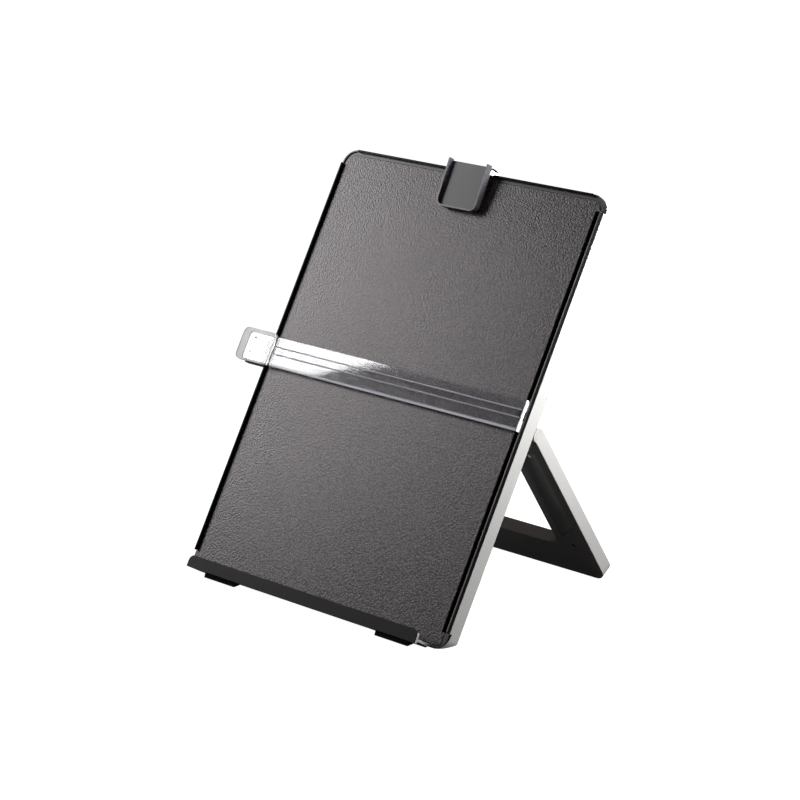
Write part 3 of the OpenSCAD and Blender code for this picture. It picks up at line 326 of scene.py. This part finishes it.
def makeSteel():
    material, tree, shader = newMaterial("zincSteel", {"Metallic": 1.0})
    drawn = addNode(tree, "ShaderNodeTexNoise", Scale=zincSteel["drawnScale"], Detail=zincSteel["drawnDetail"])
    tree.links.new(objectPlace(tree), drawn.inputs["Vector"])
    colourFrom(tree, shader, drawn.outputs["Fac"], zincSteel["dark"], zincSteel["light"])
    glossFrom(tree, shader, zincSteel["cloud"], zincSteel["rough"])
    bumpFrom(tree, shader, drawn.outputs["Fac"], zincSteel["drawnBump"], zincSteel["drawnHeight"])
    return material


materials = {"silver": makeSilver(), "steel": makeSteel()}
for name, values in finishes.items():
    materials[name] = makePlastic(name, **values)
for name, values in acrylics.items():
    materials[name] = makeAcrylic(name, **values)
print("materials made:", len(materials))

bodyOf = {node: body for body, nodes in frame["record"]["behaviour"]["bodies"].items() for node in nodes}
slotOf = {part["node"]: part["material_slot"] for part in frame["record"]["subparts"]}
finishOf = {
    "tray_plastic": "tray", "panel_plastic": "panel", "rail_plastic": "rail", "silver_plastic": "silver",
    "ledge_plastic": "ledge", "clip_plastic": "clip", "clear_plastic": "clear", "liner_plastic": "liner",
    "rubber": "rubber", "steel": "steel", "nylon": "nylon",
}

squareOn = 0.5   # a face is a front face when this much of its normal points forwards, or else a side

# where the guide's parts lie, in millimetres on the board
guidePlaces = {
    "front": -5.2, "rimRise": 0.5, "tabEnd": -107.0, "step": 1.4, "line": 1.1,
    "ridges": (158.4, 153.3), "ridgeReach": 0.7, "ridgeRise": 0.05,
    "beadTop": 146.8, "beadEnd": 106, "endWall": 109.2,
}
stepEnd = guidePlaces["tabEnd"] - guidePlaces["step"]


def onTabRim(place, facing):
    raised = place.y < guidePlaces["front"] - guidePlaces["rimRise"]
    return place.x < stepEnd and (raised or abs(facing.y) < squareOn)


def onEndWall(place, facing):
    return place.x > guidePlaces["endWall"]


def onStepLine(place, facing):
    fromStep = max(place.x - guidePlaces["tabEnd"], stepEnd - place.x)
    return 0 < fromStep < guidePlaces["line"] and facing.y < -squareOn


def onRidge(place, facing):
    nearRidge = any(abs(place.z - height) < guidePlaces["ridgeReach"] for height in guidePlaces["ridges"])
    return nearRidge and place.y < guidePlaces["front"] - guidePlaces["ridgeRise"]


def onStep(place, facing):
    return stepEnd <= place.x <= guidePlaces["tabEnd"] and facing.y < -squareOn


def onBead(place, facing):
    return place.z < guidePlaces["beadTop"] and abs(place.x) < guidePlaces["beadEnd"]


# front plane of the clip's rim, as depth and height at its two ends, and how near a face of it lies; those faces
# take a paler colour, a painted highlight along the rim
clipRimHighlight = {"low": (-6.0, 277.0), "top": (-9.0, 309.6), "reach": 0.08, "square": 0.99}


def onClipRim(place, facing):
    low, top = (Vector((0, *clipRimHighlight[end])) for end in ("low", "top"))
    across = Vector((0, top.z - low.z, low.y - top.y)).normalized()
    return abs((place - low).dot(across)) < clipRimHighlight["reach"] and abs(facing.dot(across)) > clipRimHighlight["square"]


traySide = 0.3   # faces of the tray whose normal points this much to the right take the rails' black, a painted shade on its right-facing sides


def onTraySide(place, facing):
    return facing.x > traySide


railLip = {"depth": -2.4, "square": 0.9}   # the right lip's front face is painted paler, a painted highlight; the left lip has none


def onRailLip(place, facing):
    return place.y < railLip["depth"] and facing.y < -railLip["square"]


# faces of a piece that have their own finish, some of them painted highlights and painted shade; a later one goes
# over an earlier one
accentsOf = {
    "guide_bar": [("acrylicRim", onTabRim), ("frostedWhiteHighlight", onEndWall), ("acrylicLine", onStepLine),
                  ("acrylicRidge", onRidge), ("frostedWhiteHighlight", onStep), ("paintedBeadHighlight", onBead)],
    "clip_lever": [("clipRimHighlight", onClipRim)],
    "front_tray": [("rail", onTraySide)],
    "rail_right": [("paintedLipHighlight", onRailLip)],
}

# edge rounding of each moulded piece, in millimetres
roundedEdges = {
    "front_tray": 0.25, "face_panel": 0.35,
    "rail_left": 0.3, "rail_right": 0.3, "rail_top_left": 0.3, "rail_top_right": 0.3, "back_shell": 0.6,
    "ledge_bracket": 0.35, "ledge_cover": 0.4, "front_foot_left": 0.4, "front_foot_right": 0.4,
    "clip_bracket": 0.2, "clip_lever": 0.3, "clip_pad": 0.2,
    "guide_bar": 0.25, "guide_hook": 0.3, "guide_shoe": 0.2, "guide_runner": 0.3,
    "hinge_block_left": 0.4, "hinge_block_right": 0.4,
    "leg_shell": 0.6, "leg_liner": 0.25, "rear_foot_left": 0.5, "rear_foot_right": 0.5,
}
# seam in millimetres, flat and corner in degrees
smoothing = {"seam": 0.002, "flat": 0.4, "segments": 3, "corner": 30, "flatWeight": 100}


def copyOfNode(node):
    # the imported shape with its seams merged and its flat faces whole
    bm = bmesh.new()
    bm.from_mesh(frame["nodes"][node].data)
    bmesh.ops.remove_doubles(bm, verts=bm.verts, dist=smoothing["seam"] * mm)
    bmesh.ops.dissolve_limit(bm, angle_limit=math.radians(smoothing["flat"]), verts=bm.verts, edges=bm.edges)
    return bm


def cutStepLines(bm):
    # cuts the strips beside the step that show as grey lines
    for x in (guidePlaces["tabEnd"] + guidePlaces["line"], stepEnd - guidePlaces["line"]):
        bmesh.ops.bisect_plane(bm, geom=bm.verts[:] + bm.edges[:] + bm.faces[:], plane_co=(x * mm, 0, 0),
                               plane_no=(1, 0, 0))


def markAccents(bm, accents):
    turned = toBoard.to_3x3()
    for index, (_, belongs) in enumerate(accents, 1):
        for face in bm.faces:
            if belongs(toBoard @ face.calc_center_median() / mm, turned @ face.normal):
                face.material_index = index


def roundEdges(obj, width):
    rounding = obj.modifiers.new("edges", "BEVEL")
    rounding.width = width * mm
    rounding.segments = smoothing["segments"]
    rounding.limit_method = "ANGLE"
    rounding.angle_limit = math.radians(smoothing["corner"])
    rounding.use_clamp_overlap = True
    flats = obj.modifiers.new("flats", "WEIGHTED_NORMAL")
    flats.mode = "FACE_AREA"
    flats.weight = smoothing["flatWeight"]


def dressPiece(node, width):
    # a rounded copy stands for the node, rides on its body and has its finishes
    accents = accentsOf.get(node, ())
    bm = copyOfNode(node)
    if node == "guide_bar":
        cutStepLines(bm)
    markAccents(bm, accents)
    mesh = bpy.data.meshes.new(node + "_dressed")
    bm.to_mesh(mesh)
    bm.free()
    for face in mesh.polygons:
        face.use_smooth = True
    for finish in (finishOf[slotOf[node]], *(accent for accent, _ in accents)):
        mesh.materials.append(materials[finish])
    obj = bpy.data.objects.new(node + "_dressed", mesh)
    bpy.context.scene.collection.objects.link(obj)
    roundEdges(obj, width)
    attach(obj, bodyOf[node])
    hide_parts(node)


for node, width in roundedEdges.items():
    dressPiece(node, width)
print("pieces dressed:", len(roundedEdges))

smallNodes = [node for node in frame["nodes"] if node not in roundedEdges]
for node in smallNodes:
    slots = frame["nodes"][node].data.materials
    slots.clear()
    slots.append(materials[finishOf[slotOf[node]]])
print("small parts finished:", len(smallNodes))

# floor and room; what gloss and glass see runs from dark to white, so that edges are drawn; in gloss the floor is
# darkened near the object, a painted shadow
stage = {
    "floorRadius": 8.0, "floorCorners": 96, "floorTone": tone(120), "floorRough": 0.9, "floorSpecular": 0.1,
    "floorGlow": 0.985,
    # painted shadow: the floor's level in gloss near the object
    "shadowedNearFloor": 0.1, "nearRadius": 0.2, "farRadius": 1.1,                     # the floor in gloss
    "frontRoom": 0.06, "backRoom": 1.0, "frontAt": -0.1, "backAt": 0.6,        # the room in gloss and glass
    "roomLight": 0.16,
}


def rayKinds(tree):
    # 1 for rays of the eye, for rays in gloss and for rays through glass
    path = addNode(tree, "ShaderNodeLightPath")
    return (path.outputs[kind] for kind in ("Is Camera Ray", "Is Glossy Ray", "Is Transmission Ray"))


def blendBetween(tree, value, low, high, dark, light):
    level = addNode(tree, "ShaderNodeMapRange", interpolation_type="SMOOTHSTEP")
    tree.links.new(value, level.inputs["Value"])
    for label, number in (("From Min", low), ("From Max", high), ("To Min", dark), ("To Max", light)):
        level.inputs[label].default_value = number
    return level.outputs[0]


def addFloor():
    bm = bmesh.new()
    bmesh.ops.create_circle(bm, cap_ends=True, segments=stage["floorCorners"], radius=stage["floorRadius"])
    mesh = bpy.data.meshes.new("floor")
    bm.to_mesh(mesh)
    bm.free()
    floor = bpy.data.objects.new("floor", mesh)
    bpy.context.scene.collection.objects.link(floor)
    material, tree, shader = newMaterial("paleFloor", {
        "Base Color": stage["floorTone"], "Roughness": stage["floorRough"],
        "Specular IOR Level": stage["floorSpecular"], "Emission Color": (1, 1, 1, 1),
    })
    eye, gloss, through = rayKinds(tree)
    reach = addNode(tree, "ShaderNodeVectorMath", operation="LENGTH")
    tree.links.new(objectPlace(tree), reach.inputs[0])
    # painted shadow: in gloss the floor is dark near the object and white further out
    inGloss = blendBetween(tree, reach.outputs["Value"], stage["nearRadius"], stage["farRadius"],
                           stage["shadowedNearFloor"], 1.0)
    seen = mathNode(tree, "MULTIPLY", eye, stage["floorGlow"])
    mirrored = mathNode(tree, "MAXIMUM", through, mathNode(tree, "MULTIPLY", gloss, inGloss))
    tree.links.new(mathNode(tree, "ADD", seen, mirrored), shader.inputs["Emission Strength"])
    mesh.materials.append(material)


def addRoom():
    world = bpy.data.worlds.new("studio")
    world.use_nodes = True
    bpy.context.scene.world = world
    tree = world.node_tree
    background = tree.nodes["Background"]
    background.inputs["Color"].default_value = (1, 1, 1, 1)
    eye, gloss, through = rayKinds(tree)
    way = addNode(tree, "ShaderNodeTexCoord")
    parts = addNode(tree, "ShaderNodeSeparateXYZ")
    tree.links.new(way.outputs["Generated"], parts.inputs[0])
    room = blendBetween(tree, parts.outputs["Y"], stage["frontAt"], stage["backAt"],
                        stage["frontRoom"], stage["backRoom"])
    mirrored = mathNode(tree, "MAXIMUM", gloss, through)
    seen = mathNode(tree, "MAXIMUM", eye, mathNode(tree, "MULTIPLY", mirrored, room))
    other = mathNode(tree, "SUBTRACT", 1.0, mathNode(tree, "MAXIMUM", eye, mirrored))
    lit = mathNode(tree, "MULTIPLY", other, stage["roomLight"])
    tree.links.new(mathNode(tree, "ADD", seen, lit), background.inputs["Strength"])


# the key stands where the panel's left third mirrors it to the camera, the side lamp behind the
# panel's plane, so that it lights only the silver side; metres, watts and degrees
lamps = {
    "keySoftbox": {"place": (-1.077, -0.426, 0.71), "aim": (-0.05, 0.03, 0.13), "size": (0.62, 0.6),
                   "power": 13.0, "spread": 180},
    "sideLamp": {"place": (0.38, 0.3, 0.4), "aim": (0.11, 0.175, 0.25), "size": (0.16, 0.16),
                 "power": 2.0, "spread": 72},
    "edgeLamp": {"place": (1.14, -0.66, 0.78), "aim": (0.05, 0.06, 0.13), "size": (0.1, 0.1),
                 "power": 1.0, "spread": 180},
}


def addLamps():
    for name, values in lamps.items():
        data = bpy.data.lights.new(name, "AREA")
        data.shape = "RECTANGLE"
        data.size, data.size_y = values["size"]
        data.energy = values["power"]
        data.spread = math.radians(values["spread"])
        lamp = bpy.data.objects.new(name, data)
        lamp.location = values["place"]
        aim = Vector(values["aim"]) - Vector(values["place"])
        lamp.rotation_euler = aim.to_track_quat("-Z", "Y").to_euler()
        lamp.visible_camera = False
        bpy.context.scene.collection.objects.link(lamp)


addFloor()
addRoom()
addLamps()
bpy.context.scene.view_settings.view_transform = "Standard"
print("stage and lamps set")
